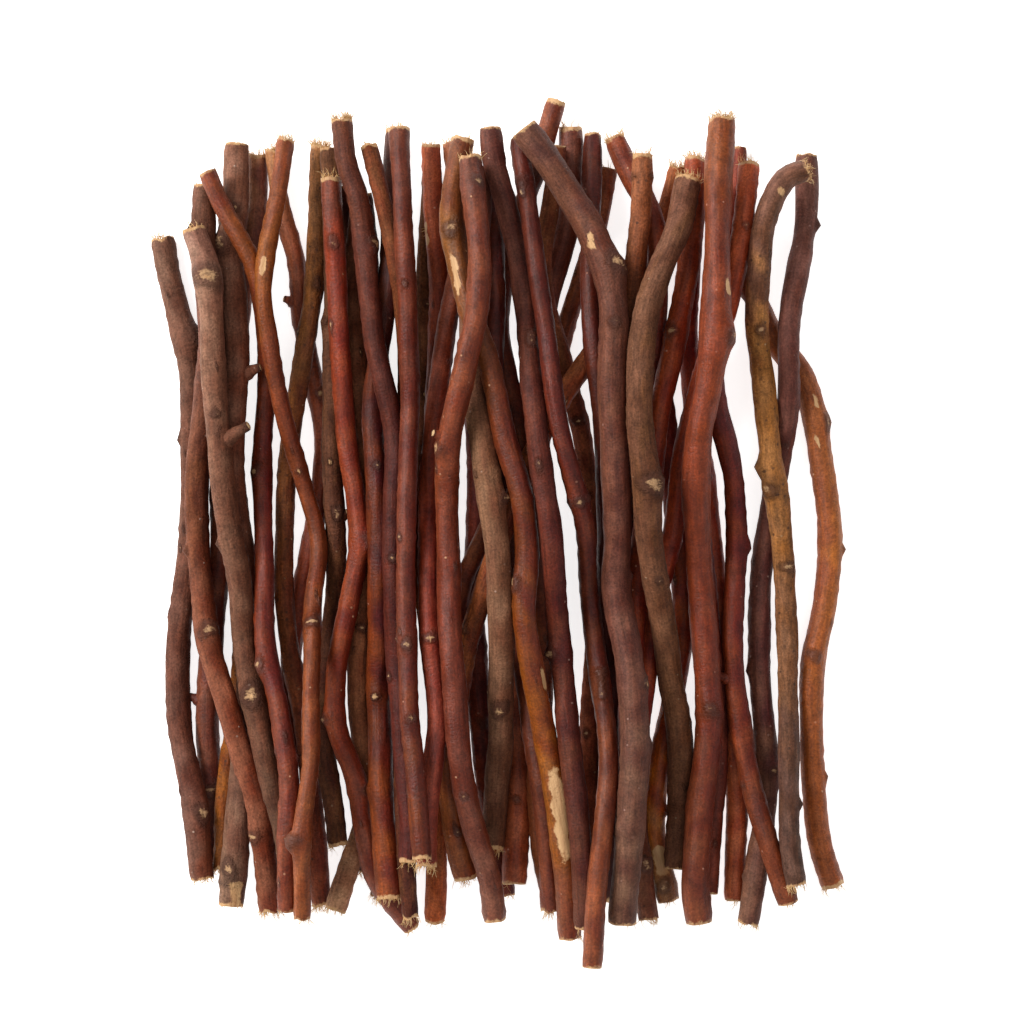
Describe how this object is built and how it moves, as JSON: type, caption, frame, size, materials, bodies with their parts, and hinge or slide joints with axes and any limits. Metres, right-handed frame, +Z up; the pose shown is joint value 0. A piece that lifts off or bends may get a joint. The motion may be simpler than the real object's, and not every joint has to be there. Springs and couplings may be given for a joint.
{
  "type": "bundle of twigs",
  "caption": "Bunch of cut craft twigs, straight to gently wavy, piled flat side by side and lying over each other.",
  "frame": {"origin": "on the resting surface, under the middle of the bunch's box", "axes": "+Y along the twigs towards their upper ends, +Z up from the surface the bunch lies on"},
  "size_m": [0.141, 0.1742, 0.0282],
  "materials": {
    "grey_bark": "matt, rough grey-brown bark",
    "olive_bark": "matt olive-brown bark",
    "ochre_bark": "dry ochre bark with dark specks",
    "orange_bark": "smooth orange-brown bark with a soft sheen",
    "russet_bark": "smooth russet bark with a soft sheen",
    "dark_red_bark": "smooth dark red bark with a soft sheen",
    "plum_bark": "smooth plum-brown bark"
  },
  "bodies": {
    "root": {"twig_01": "dark_red_bark", "twig_02": "ochre_bark", "twig_03": "russet_bark", "twig_04": "ochre_bark", "twig_05": "dark_red_bark", "twig_06": "grey_bark", "twig_07": "dark_red_bark", "twig_08": "dark_red_bark", "twig_09": "dark_red_bark", "twig_10": "russet_bark", "twig_11": "russet_bark", "twig_12": "russet_bark", "twig_13": "olive_bark", "twig_14": "ochre_bark", "twig_15": "russet_bark", "twig_16": "orange_bark", "twig_17": "ochre_bark", "twig_18": "russet_bark", "twig_19": "plum_bark", "twig_20": "orange_bark", "twig_21": "russet_bark", "twig_22": "olive_bark", "twig_23": "olive_bark", "twig_24": "russet_bark", "twig_25": "grey_bark", "twig_26": "grey_bark", "twig_27": "russet_bark", "twig_28": "plum_bark", "twig_29": "orange_bark", "twig_30": "dark_red_bark", "twig_31": "olive_bark", "twig_32": "plum_bark", "twig_33": "russet_bark", "twig_34": "grey_bark", "twig_35": "orange_bark", "twig_36": "plum_bark", "twig_37": "russet_bark", "twig_38": "grey_bark", "twig_39": "grey_bark", "twig_40": "orange_bark", "twig_41": "orange_bark", "twig_42": "russet_bark", "twig_43": "orange_bark", "twig_44": "plum_bark", "twig_45": "olive_bark", "twig_46": "dark_red_bark", "twig_47": "russet_bark", "twig_48": "ochre_bark"}
  },
  "joints": []
}
